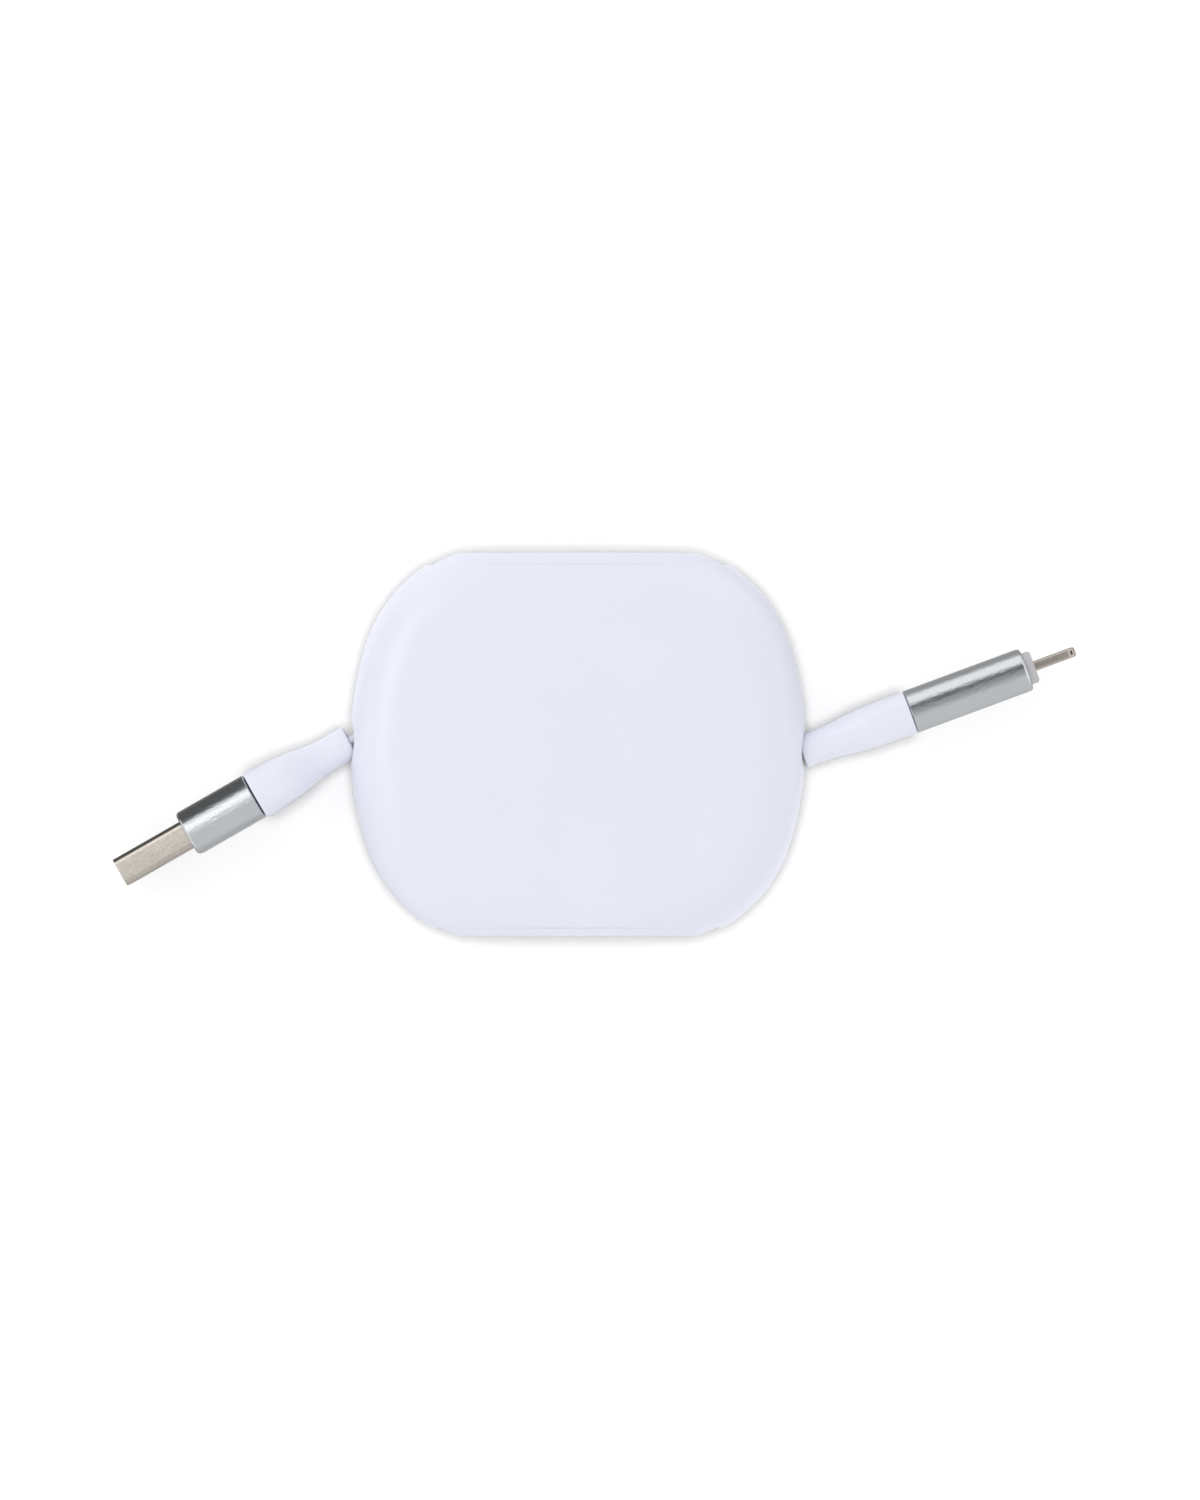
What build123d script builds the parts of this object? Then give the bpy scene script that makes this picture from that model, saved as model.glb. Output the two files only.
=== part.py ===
from build123d import *
import math
import os

# A retractable charging cable. A flat reel case lies on its back on the ground plane, with the reel's axis
# on +Z and the origin under it. A flat cable leaves the case to the left for a charger plug and to the right
# for a phone plug. Both plugs are drawn in against the case, with their wide sides upright. Sizes are in mm.

# Reel case: a pebble of tangent arcs, rolled off all round and cut straight at both ends
CASE_WIDTH = 70.0
CASE_LENGTH = 58.7
CASE_THICKNESS = 16.0
UPPER_LEDGE = 1.75  # how far the rear cover stands beyond the front cover at the +Y end
LOWER_LEDGE = 1.2  # and at the -Y end
LEDGE_STEP = 0.12  # how far the ledges lie below the front cover's surface
LEDGE_INSET = 0.6  # how far the ledges' ends lie inside the case's outline
LEDGE_LAP = 0.75  # how far the end walls reach under the front cover
LEDGE_ROUND = 1.0
COVER_EDGE_ROUND = 0.3  # along the front cover's straight ends
END_CUT = 3.61  # how much of the pebble the straight ends cut off
SIDE_RADIUS = 51.5
CORNER_RADIUS = 22.7
END_RADIUS = 58.8
RIM_LAND = 0.2  # upright land at the parting plane, below the rolled-off edge
WALL = 1.6
PARTING_GROOVE = 0.2
COVER_FIT = 0.15
LIP = 0.8
LIP_HEIGHT = 1.0
LIP_LENGTH = 36.0

# Cable mouths in the two sides of the case, each cut along its plug's axis
MOUTH_WIDTH = 5.5
MOUTH_HEIGHT = 6.3
MOUTH_FLARE = 0.2

# Flat cable, folded at the hub and wound double
CABLE_THICKNESS = 1.3
CABLE_WIDTH = 4.6
TURN_GAP = 0.06
FOLD_ANGLE = 43.0
CHARGER_HALF_TURNS = 10
PHONE_HALF_TURNS = 9
LEAD_BEND_RADIUS = 16.0
LEAD_BEND_INSET = 4.1  # from the case's side to the bend of each lead
LEAD_GAP = 0.15
LEAD_IN_BOOT = 7.0

# Reel, its cap and the post that they turn on
HUB_RADIUS = 7.4
HUB_WALL = 1.0
FLANGE_THICKNESS = 1.0
FLANGE_MARGIN = 1.4
CHANNEL_CLEARANCE = 0.3
POST_RADIUS = 2.5
POST_SHOULDER_RADIUS = 4.2
RUNNING_FIT = 0.06
AXIAL_PLAY = 0.15
CAP_SPIGOT = 0.5
CAP_SPIGOT_WALL = 0.8
CAP_BOSS = 0.3
PUSH_FIT = 0.03
COVER_BOSS_WALL = 1.6
POST_TOP_GAP = 0.5

# Power spring
SPRING_THICKNESS = 0.2
SPRING_WIDTH = 4.2
SPRING_HALF_TURNS = 12
SPRING_CLEARANCE = 0.35
SPRING_SLOT = 0.6
SPRING_HOOK = 0.8

# Ratchet ring under the reel and the pawl that locks it
PAWL_ANGLE = 200.0
PAWL_PIVOT_RADIUS = 11.0
PAWL_ARM = 11.0
PAWL_SWING_ANGLE = 15.0
PAWL_PLATE = 0.7
PAWL_CLEARANCE = 0.3
PAWL_HUB_RADIUS = 2.0
PAWL_TIP_RADIUS = 1.3
PAWL_PIN_RADIUS = 0.8
PIVOT_RADIUS = 1.0
PIVOT_FIT = 0.04
RATCHET_NOTCHES = 8
RATCHET_FREE_GAP = 0.8
RATCHET_WALL = 1.6
NOTCH_CLEARANCE = 0.35
NOTCH_RAMP = 1.3

# Shared sizes of the two plugs
SLEEVE_WALL = 0.5
SLEEVE_FRONT = 1.0
SLEEVE_RIM_ROUND = 0.6
SLEEVE_REAR_BEVEL = 0.15
BOOT_END_ROUND = 0.45
BOOT_STATIONS = 12
BOOT_CORNER_RATIO = 0.42  # corner radius of a boot's section, as a share of its thickness

# Charger plug, drawn along its own +X from the cable end of its boot
CHARGER_ANGLE = 29.8
CHARGER_STANDOFF = 0.0  # cable end of the boot beyond the case's side
CHARGER_RISE = 0.49
CHARGER_BOOT_LENGTH = 16.7
CHARGER_NECK_LENGTH = 4.3
CHARGER_SHOULDER_LENGTH = 4.0
CHARGER_NECK_THICKNESS = 5.1
CHARGER_NECK_WIDTH = 5.7
CHARGER_SHOULDER_THICKNESS = 7.15
CHARGER_SHOULDER_WIDTH = 14.8
CHARGER_BOOT_THICKNESS = 7.65
CHARGER_BOOT_WIDTH = 15.6
CHARGER_JOINT_GAP = 0.3  # dark line between the boot and its sleeve
CHARGER_SLEEVE_LENGTH = 11.8
CHARGER_SLEEVE_THICKNESS = 7.25
CHARGER_SLEEVE_WIDTH = 15.4
CHARGER_SLEEVE_CORNER = 3.35
NOSE_LENGTH = 11.75
NOSE_THICKNESS = 4.5
NOSE_WIDTH = 12.0
NOSE_CORNER = 0.85
NOSE_SHEET = 0.3
NOSE_ROOT = 5.0  # length of the steel nose inside the sleeve's moulding
NOSE_SEAM = 0.12
WINDOW_SIDE = 2.2
WINDOW_SPACING = 5.7
WINDOW_SETBACK = 5.2
TONGUE_THICKNESS = 1.9
TONGUE_SETBACK = 0.5
TONGUE_BEVEL = 0.25
CONTACT_WIDTH = 1.0
CONTACT_DEPTH = 0.15
CONTACT_PROUD = 0.1
CONTACT_SETBACK = 1.0
CONTACT_STAGGER = 1.0
CONTACT_TAIL = 1.5
CONTACT_OUTER_Z = 3.5
CONTACT_INNER_Z = 1.0

# Phone plug, drawn the same way
PHONE_ANGLE = 20.3
PHONE_STANDOFF = -0.68
PHONE_RISE = -1.24
PHONE_BOOT_LENGTH = 17.75
PHONE_NECK_LENGTH = 3.2
PHONE_SHOULDER_LENGTH = 5.5
PHONE_NECK_THICKNESS = 5.0
PHONE_NECK_WIDTH = 5.6
PHONE_SHOULDER_THICKNESS = 6.6
PHONE_SHOULDER_WIDTH = 10.2
PHONE_BOOT_THICKNESS = 6.75
PHONE_BOOT_WIDTH = 10.6
PHONE_JOINT_GAP = 0.15
PHONE_SLEEVE_LENGTH = 19.0
PHONE_SLEEVE_THICKNESS = 6.75
PHONE_SLEEVE_WIDTH = 10.7
PHONE_SLEEVE_CORNER = 3.2
COLLAR_LENGTH = 1.25
COLLAR_THICKNESS = 5.0
COLLAR_WIDTH = 8.8
COLLAR_CORNER = 1.6
COLLAR_ROUND = 0.4
TAB_LENGTH = 6.7
TAB_ROOT = 5.5
TAB_THICKNESS = 1.5
TAB_WIDTH = 6.7
TAB_TIP_ROUND = 1.5
TAB_EDGE_ROUND = 0.35
TAB_WINDOW_WIDTH = 5.5
TAB_WINDOW_LENGTH = 3.3
TAB_WINDOW_SETBACK = 1.4
INSERT_RECESS = 0.03
PAD_COUNT = 8
PAD_PITCH = 0.66
PAD_WIDTH = 0.4
PAD_LENGTH = 2.4
PAD_DEPTH = 0.2
GROOVE_WIDTH = 0.35
GROOVE_DEPTH = 0.25
GROOVE_END = 4.2  # from the tab's tip to the end of its edge groove
DIMPLE_RADIUS = 0.45
DIMPLE_DEPTH = 0.3
DIMPLE_SETBACK = 3.25
NOTCH_LENGTH = 0.5
NOTCH_WIDTH = 0.7
NOTCH_DEPTH = 0.3
NOTCH_SETBACK = 0.75
FACET_LENGTH = 0.7
FACET_DEPTH = 0.06
FACET_SETBACK = 1.9
BOARD_THICKNESS = 0.8
BOARD_WIDTH = 6.2
BOARD_LENGTH = 9.0
BOARD_FIT = 0.05


def polar(radius, degrees):
    """Point in the ground plane at a distance and an angle from the reel's axis."""
    return Vector(radius * math.cos(math.radians(degrees)), radius * math.sin(math.radians(degrees)))


def direction(vector):
    """Angle of a vector in the ground plane, in degrees from +X."""
    return math.degrees(math.atan2(vector.Y, vector.X))


def tangent_centre(first, first_distance, second, second_distance):
    """Centre at given distances from two others, to the left of the way from the first to the second."""
    way = second - first
    along = (first_distance**2 - second_distance**2 + way.length**2) / (2 * way.length)
    aside = math.sqrt(first_distance**2 - along**2)
    ahead = way.normalized()
    return first + ahead * along + Vector(-ahead.Y, ahead.X) * aside


# Places that follow from the sizes above
MID = CASE_THICKNESS / 2
CASE_END = CASE_LENGTH / 2
COVER_UPPER_END = CASE_END - UPPER_LEDGE
COVER_LOWER_END = LOWER_LEDGE - CASE_END
EDGE_ROUND = MID - RIM_LAND
SIDE_CENTRE = Vector(CASE_WIDTH / 2 - SIDE_RADIUS, 0)
END_CENTRE = Vector(0, CASE_END + END_CUT - END_RADIUS)
CORNER_CENTRE = tangent_centre(
    SIDE_CENTRE, SIDE_RADIUS - CORNER_RADIUS, END_CENTRE, END_RADIUS - CORNER_RADIUS
)
SIDE_ANGLE = direction(CORNER_CENTRE - SIDE_CENTRE)
CORNER_ANGLE = direction(CORNER_CENTRE - END_CENTRE)

TURN_PITCH = CABLE_THICKNESS + TURN_GAP
FIRST_TURN_RADIUS = HUB_RADIUS + TURN_GAP + CABLE_THICKNESS / 2
COIL_RADIUS = FIRST_TURN_RADIUS + TURN_PITCH * (CHARGER_HALF_TURNS + 1)
FLANGE_RADIUS = COIL_RADIUS + FLANGE_MARGIN

CHANNEL_HALF = CABLE_WIDTH / 2 + CHANNEL_CLEARANCE
REEL_BOTTOM = MID - CHANNEL_HALF - FLANGE_THICKNESS
CAP_BOTTOM = MID + CHANNEL_HALF
CAP_TOP = CAP_BOTTOM + FLANGE_THICKNESS
COVER_BOSS_BOTTOM = CAP_TOP + CAP_BOSS + AXIAL_PLAY
POST_BORE = POST_RADIUS + RUNNING_FIT
HUB_BORE = HUB_RADIUS - HUB_WALL
SPRING_START = POST_RADIUS + SPRING_CLEARANCE
SPRING_GROWTH = (HUB_BORE - SPRING_CLEARANCE - SPRING_START) / SPRING_HALF_TURNS

PAWL_BOTTOM = WALL + PAWL_CLEARANCE
PAWL_TOP = PAWL_BOTTOM + PAWL_PLATE
RATCHET_BOTTOM = PAWL_TOP + PAWL_CLEARANCE
PAWL_PIVOT = polar(PAWL_PIVOT_RADIUS, PAWL_ANGLE)
PIN_FREE = PAWL_PIVOT + polar(PAWL_ARM, PAWL_ANGLE + 90)
PIN_LOCKED = PAWL_PIVOT + polar(PAWL_ARM, PAWL_ANGLE + 90 - PAWL_SWING_ANGLE)
RATCHET_INNER = PIN_FREE.length + PAWL_PIN_RADIUS + RATCHET_FREE_GAP
NOTCH_REACH = PAWL_PIN_RADIUS + NOTCH_CLEARANCE
RATCHET_OUTER = PIN_LOCKED.length + NOTCH_REACH + RATCHET_WALL

CHARGER_EXIT = Vector(-CASE_WIDTH / 2 - CHARGER_STANDOFF, CHARGER_RISE)
CHARGER_OUT = polar(1, 180 + CHARGER_ANGLE)
CHARGER_PLACE = Pos(CHARGER_EXIT.X, CHARGER_EXIT.Y, MID) * Rot(0, 0, 180 + CHARGER_ANGLE)
PHONE_EXIT = Vector(CASE_WIDTH / 2 + PHONE_STANDOFF, PHONE_RISE)
PHONE_OUT = polar(1, PHONE_ANGLE)
PHONE_PLACE = Pos(PHONE_EXIT.X, PHONE_EXIT.Y, MID) * Rot(0, 0, PHONE_ANGLE)

CHARGER_SLEEVE_START = CHARGER_BOOT_LENGTH + CHARGER_JOINT_GAP
CHARGER_SLEEVE_END = CHARGER_SLEEVE_START + CHARGER_SLEEVE_LENGTH
NOSE_START = CHARGER_SLEEVE_END - SLEEVE_FRONT - NOSE_ROOT
NOSE_TIP = CHARGER_SLEEVE_END + NOSE_LENGTH
TONGUE_FACE = -NOSE_THICKNESS / 2 + NOSE_SHEET + PUSH_FIT + TONGUE_THICKNESS

PHONE_SLEEVE_START = PHONE_BOOT_LENGTH + PHONE_JOINT_GAP
PHONE_SLEEVE_END = PHONE_SLEEVE_START + PHONE_SLEEVE_LENGTH
COLLAR_END = PHONE_SLEEVE_END + COLLAR_LENGTH
TAB_START = COLLAR_END - TAB_ROOT
TAB_TIP = COLLAR_END + TAB_LENGTH


# Case


def across(x, sketch):
    """Sketch drawn in thickness and width, stood across a plug at a place along it."""
    return Plane.YZ.offset(x) * sketch


def case_outline(inset):
    """Closed pebble outline, every arc drawn smaller by the inset on its own centre."""
    side_x, end_y = SIDE_CENTRE.X, END_CENTRE.Y
    corner_x, corner_y = CORNER_CENTRE.X, CORNER_CENTRE.Y
    corner_span = CORNER_ANGLE - SIDE_ANGLE
    end_span = 180 - 2 * CORNER_ANGLE
    arcs = [
        CenterArc((side_x, 0), SIDE_RADIUS - inset, -SIDE_ANGLE, 2 * SIDE_ANGLE),
        CenterArc((corner_x, corner_y), CORNER_RADIUS - inset, SIDE_ANGLE, corner_span),
        CenterArc((0, end_y), END_RADIUS - inset, CORNER_ANGLE, end_span),
        CenterArc((-corner_x, corner_y), CORNER_RADIUS - inset, 180 - CORNER_ANGLE, corner_span),
        CenterArc((-side_x, 0), SIDE_RADIUS - inset, 180 - SIDE_ANGLE, 2 * SIDE_ANGLE),
        CenterArc((-corner_x, -corner_y), CORNER_RADIUS - inset, 180 + SIDE_ANGLE, corner_span),
        CenterArc((0, -end_y), END_RADIUS - inset, 180 + CORNER_ANGLE, end_span),
        CenterArc((corner_x, -corner_y), CORNER_RADIUS - inset, 360 - CORNER_ANGLE, corner_span),
    ]
    return make_face(arcs)


def upper_pebble(inset):
    """Upper half of the pebble above the parting plane, with its rim rolled off."""
    block = extrude(Pos(0, 0, MID) * case_outline(inset), amount=MID - inset)
    rim = block.edges().group_by(Axis.Z)[-1]
    return fillet(rim, EDGE_ROUND - inset)


def lower_pebble(inset):
    """Mirror image of the upper half below the parting plane."""
    return mirror(upper_pebble(inset), about=Plane.XY.offset(MID))


def band(start, end):
    """Block across the whole case between two places along Y."""
    return Pos(0, (start + end) / 2, MID) * Box(2 * CASE_WIDTH, end - start, 2 * CASE_THICKNESS)


def mouth_cutter(standoff, angle):
    """Upright slot through one side of the case along a plug's axis, flared where the cable leaves it."""
    outline = -standoff / math.cos(math.radians(angle))
    depth = 2 * (WALL + COVER_FIT + LIP)
    slot = SlotOverall(MOUTH_HEIGHT, MOUTH_WIDTH, rotation=90)
    flare = SlotOverall(MOUTH_HEIGHT + 4 * MOUTH_FLARE, MOUTH_WIDTH + 4 * MOUTH_FLARE, rotation=90)
    passage = extrude(across(outline - depth, slot), amount=2 * depth)
    return passage + loft([across(outline - WALL, slot), across(outline + WALL, flare)], ruled=True)


def both_mouths():
    """The two cable mouths in place."""
    left = CHARGER_PLACE * mouth_cutter(CHARGER_STANDOFF, CHARGER_ANGLE)
    return left + PHONE_PLACE * mouth_cutter(PHONE_STANDOFF, PHONE_ANGLE)


def end_wall(ledge):
    """End wall of the rear cover at +Y: a rounded ledge and a plate that reaches under the front cover."""
    joint = CASE_END - ledge
    pebble = upper_pebble(LEDGE_STEP) + lower_pebble(LEDGE_STEP)
    rim = pebble & extrude(case_outline(LEDGE_INSET), amount=CASE_THICKNESS) & band(joint, CASE_END)
    rim = fillet(rim.edges().group_by(Axis.Y)[-1], LEDGE_ROUND)
    plate = upper_pebble(WALL + COVER_FIT) & band(joint - LEDGE_LAP, joint)
    foot = lower_pebble(WALL / 2) & band(joint - LEDGE_LAP, joint)
    return rim + plate + foot


def locating_lip():
    """Lip inside each side of the rear cover that the front cover drops over."""
    outer, inner = WALL + COVER_FIT, WALL + COVER_FIT + LIP
    tongue = extrude(Pos(0, 0, MID) * (case_outline(outer) - case_outline(inner)), amount=LIP_HEIGHT)
    root = extrude(Pos(0, 0, MID) * (case_outline(WALL / 2) - case_outline(inner)), amount=-LIP_HEIGHT)
    return (tongue + root) & band(-LIP_LENGTH / 2, LIP_LENGTH / 2)


def front_cover():
    """Flat front cover with rolled-off sides, open at both ends, with a boss that centres the post."""
    slab = upper_pebble(0) & band(COVER_LOWER_END, COVER_UPPER_END)
    ends = slab.faces().group_by(Axis.Y)[0] + slab.faces().group_by(Axis.Y)[-1]
    rims = [edge for face in ends for edge in face.edges() if edge.center().Z > MID + RIM_LAND]
    skin = fillet(rims, COVER_EDGE_ROUND) - upper_pebble(WALL)
    boss_height = CASE_THICKNESS - WALL - COVER_BOSS_BOTTOM
    boss_ring = Circle(POST_RADIUS + COVER_FIT + COVER_BOSS_WALL) - Circle(POST_RADIUS + COVER_FIT)
    boss = extrude(Pos(0, 0, COVER_BOSS_BOTTOM) * boss_ring, amount=boss_height)
    return skin + boss - both_mouths()


def rear_cover():
    """Rear tub with the rest face, the two end walls, the reel's post and the pawl's pivot."""
    tub = (lower_pebble(0) - lower_pebble(WALL)) & band(COVER_LOWER_END, COVER_UPPER_END)
    groove_ring = case_outline(-WALL) - case_outline(PARTING_GROOVE)
    groove = extrude(Pos(0, 0, MID) * groove_ring, amount=-PARTING_GROOVE)
    tub -= groove & band(COVER_LOWER_END, COVER_UPPER_END)
    tub += end_wall(UPPER_LEDGE) + mirror(end_wall(LOWER_LEDGE), about=Plane.XZ) + locating_lip()
    shoulder_top = REEL_BOTTOM - AXIAL_PLAY
    post_top = CASE_THICKNESS - WALL - POST_TOP_GAP
    tub += extrude(Pos(0, 0, WALL) * Circle(POST_SHOULDER_RADIUS), amount=shoulder_top - WALL)
    tub += extrude(Pos(0, 0, WALL) * Circle(POST_RADIUS), amount=post_top - WALL)
    pivot_height = PAWL_PLATE + 3 * PAWL_CLEARANCE
    tub += extrude(Pos(PAWL_PIVOT.X, PAWL_PIVOT.Y, WALL) * Circle(PIVOT_RADIUS), amount=pivot_height)
    slit_bottom = REEL_BOTTOM + FLANGE_THICKNESS
    slit = extrude(Pos(0, 0, slit_bottom) * Rectangle(4 * POST_RADIUS, SPRING_SLOT), amount=CASE_THICKNESS)
    return tub - slit - both_mouths()


# Reel and what turns with it


def ring(inner, outer, bottom, top):
    """Plain ring about the reel's axis."""
    return extrude(Pos(0, 0, bottom) * (Circle(outer) - Circle(inner)), amount=top - bottom)


def ratchet_ring():
    """Ring under the lower flange with ramped notches inside, one of them at the locked pin."""
    blank = ring(RATCHET_INNER, RATCHET_OUTER, RATCHET_BOTTOM, REEL_BOTTOM)
    mouth = RATCHET_INNER - PIN_LOCKED.length - NOTCH_REACH
    notch = make_face(Polyline(
        (NOTCH_REACH, -NOTCH_REACH),
        (NOTCH_REACH, NOTCH_REACH),
        (mouth, NOTCH_REACH + NOTCH_RAMP),
        (mouth, -NOTCH_REACH),
        close=True,
    ))
    cutter = extrude(Pos(PIN_LOCKED.length, 0, RATCHET_BOTTOM) * notch, amount=REEL_BOTTOM - RATCHET_BOTTOM)
    first = direction(PIN_LOCKED)
    for step in range(RATCHET_NOTCHES):
        blank -= Rot(0, 0, first + step * 360 / RATCHET_NOTCHES) * cutter
    return blank


def reel():
    """Lower flange, hub and ratchet ring in one moulding, with a slot for the spring's outer end."""
    body = ring(POST_BORE, FLANGE_RADIUS, REEL_BOTTOM, REEL_BOTTOM + FLANGE_THICKNESS)
    body += ring(HUB_BORE, HUB_RADIUS, REEL_BOTTOM, CAP_BOTTOM)
    body += ratchet_ring()
    slot_height = CAP_BOTTOM - REEL_BOTTOM - FLANGE_THICKNESS
    slot = Pos(HUB_BORE, 0, MID) * Box(2 * SPRING_HOOK, SPRING_SLOT, slot_height)
    return body - slot


def reel_cap():
    """Upper flange with a spigot inside the hub and a small thrust boss."""
    flange = ring(POST_BORE, FLANGE_RADIUS, CAP_BOTTOM, CAP_TOP)
    spigot_radius = HUB_BORE - PUSH_FIT
    spigot = ring(spigot_radius - CAP_SPIGOT_WALL, spigot_radius, CAP_BOTTOM - CAP_SPIGOT, CAP_BOTTOM)
    boss = ring(POST_BORE, POST_SHOULDER_RADIUS, CAP_TOP, CAP_TOP + CAP_BOSS)
    return flange + spigot + boss


def spiral_strip(start_radius, growth, spans, start_angle, thickness):
    """Strip wound from half turns on two alternating centres, each wider than the last by the growth."""
    inner, outer = [], []
    for turn, span in enumerate(spans):
        centre = polar(growth / 2, start_angle + 180 * (turn + 1))
        radius = start_radius + growth / 2 + turn * growth
        inner.append(CenterArc((centre.X, centre.Y), radius - thickness / 2, start_angle + 180 * turn, span))
        outer.append(CenterArc((centre.X, centre.Y), radius + thickness / 2, start_angle + 180 * turn, span))
    start_cap = Line(inner[0] @ 0, outer[0] @ 0)
    end_cap = Line(inner[-1] @ 1, outer[-1] @ 1)
    return make_face([*inner, end_cap, *outer, start_cap])


def power_spring():
    """Spiral strip from a tab in the post's slit to a hook in the hub's slot."""
    strip = spiral_strip(SPRING_START, SPRING_GROWTH, [180] * SPRING_HALF_TURNS, 0, SPRING_THICKNESS)
    end_radius = SPRING_START + SPRING_GROWTH * SPRING_HALF_TURNS
    tab = Pos(SPRING_START / 2, 0) * Rectangle(SPRING_START, SPRING_THICKNESS)
    hook = Pos(end_radius + SPRING_HOOK / 2, 0) * Rectangle(SPRING_HOOK, SPRING_THICKNESS)
    bottom = MID - SPRING_WIDTH / 2
    pieces = [extrude(Pos(0, 0, bottom) * face, amount=SPRING_WIDTH) for face in (strip, tab, hook)]
    return pieces[0] + pieces[1] + pieces[2]


def strand_end(start_radius, half_turns, bend_point):
    """Where a strand leaves the winding for its bend point: the last arc's span and the tangent point."""
    centre = polar(TURN_PITCH / 2, FOLD_ANGLE + 180 * (half_turns + 1))
    radius = start_radius + TURN_PITCH / 2 + half_turns * TURN_PITCH
    reach = bend_point - centre
    run = math.sqrt(reach.length**2 - radius**2)
    leave = math.degrees(math.atan2(reach.Y, reach.X) - math.atan2(run, radius))
    span = (leave - FOLD_ANGLE - 180 * half_turns) % 360
    return span, centre + polar(radius, leave)


def bend_point(exit_point, out):
    """Place on a plug's axis, inside the case, where its lead turns towards the winding."""
    depth = (abs(exit_point.X) - CASE_WIDTH / 2 + LEAD_BEND_INSET) / abs(out.X)
    return exit_point - out * depth


CHARGER_BEND = bend_point(CHARGER_EXIT, CHARGER_OUT)
PHONE_BEND = bend_point(PHONE_EXIT, PHONE_OUT)
CHARGER_SPAN, CHARGER_LEAVE = strand_end(FIRST_TURN_RADIUS, CHARGER_HALF_TURNS, CHARGER_BEND)
PHONE_SPAN, PHONE_LEAVE = strand_end(FIRST_TURN_RADIUS + TURN_PITCH, PHONE_HALF_TURNS, PHONE_BEND)


def wound_cable():
    """Both strands of the cable side by side on the hub, joined by the fold at their inner end."""
    charger_spans = [180] * CHARGER_HALF_TURNS + [CHARGER_SPAN]
    phone_spans = [180] * PHONE_HALF_TURNS + [PHONE_SPAN]
    second_radius = FIRST_TURN_RADIUS + TURN_PITCH
    first = spiral_strip(FIRST_TURN_RADIUS, TURN_PITCH, charger_spans, FOLD_ANGLE, CABLE_THICKNESS)
    second = spiral_strip(second_radius, TURN_PITCH, phone_spans, FOLD_ANGLE, CABLE_THICKNESS)
    middle = polar(FIRST_TURN_RADIUS + TURN_PITCH / 2, FOLD_ANGLE)
    wide = CenterArc((middle.X, middle.Y), TURN_PITCH / 2 + CABLE_THICKNESS / 2, FOLD_ANGLE - 180, 180)
    tight = CenterArc((middle.X, middle.Y), TURN_PITCH / 2 - CABLE_THICKNESS / 2, FOLD_ANGLE - 180, 180)
    fold = make_face([wide, Line(wide @ 1, tight @ 1), tight, Line(tight @ 0, wide @ 0)])
    bottom = MID - CABLE_WIDTH / 2
    pieces = [extrude(Pos(0, 0, bottom) * face, amount=CABLE_WIDTH) for face in (first, second, fold)]
    return pieces[0] + pieces[1] + pieces[2]


def lead(leave, bend, exit_point, out):
    """Flat cable from the winding round one bend, through the mouth and into a boot."""
    start = leave + (bend - leave).normalized() * LEAD_GAP
    end = exit_point + out * LEAD_IN_BOOT
    path = Pos(0, 0, MID) * FilletPolyline(start, bend, end, radius=LEAD_BEND_RADIUS)
    section = Plane(path @ 0, x_dir=(0, 0, 1), z_dir=path % 0) * SlotOverall(CABLE_WIDTH, CABLE_THICKNESS)
    return sweep(section, path)


def ratchet_pawl():
    """Lever on its pivot with an upright pin that swings out into the ratchet ring."""
    hub = Pos(PAWL_PIVOT.X, PAWL_PIVOT.Y) * Circle(PAWL_HUB_RADIUS)
    tip = Pos(PIN_FREE.X, PIN_FREE.Y) * Circle(PAWL_TIP_RADIUS)
    plate = make_hull(hub.edges() + tip.edges())
    pin = Pos(PIN_FREE.X, PIN_FREE.Y) * Circle(PAWL_PIN_RADIUS)
    bore = Pos(PAWL_PIVOT.X, PAWL_PIVOT.Y) * Circle(PIVOT_RADIUS + PIVOT_FIT)
    boss_height = PAWL_PLATE + PAWL_CLEARANCE
    lever = extrude(Pos(0, 0, PAWL_BOTTOM) * plate, amount=PAWL_PLATE)
    lever += extrude(Pos(0, 0, PAWL_BOTTOM) * hub, amount=boss_height)
    lever += extrude(Pos(0, 0, PAWL_BOTTOM) * pin, amount=REEL_BOTTOM - PAWL_CLEARANCE - PAWL_BOTTOM)
    return lever - extrude(Pos(0, 0, PAWL_BOTTOM) * bore, amount=boss_height)


# Plugs, each drawn along +X from the cable end of its boot, thickness along Y and width along Z


def bar(start, end, thickness, width, corner):
    """Straight piece of a plug with rounded edges along it."""
    return extrude(across(start, RectangleRounded(thickness, width, corner)), amount=end - start)


def block(start, end, y_low, y_high, z_middle, width):
    """Straight square-edged piece of a plug between two places in its thickness."""
    middle = ((start + end) / 2, (y_low + y_high) / 2, z_middle)
    return Pos(*middle) * Box(end - start, y_high - y_low, width)


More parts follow.
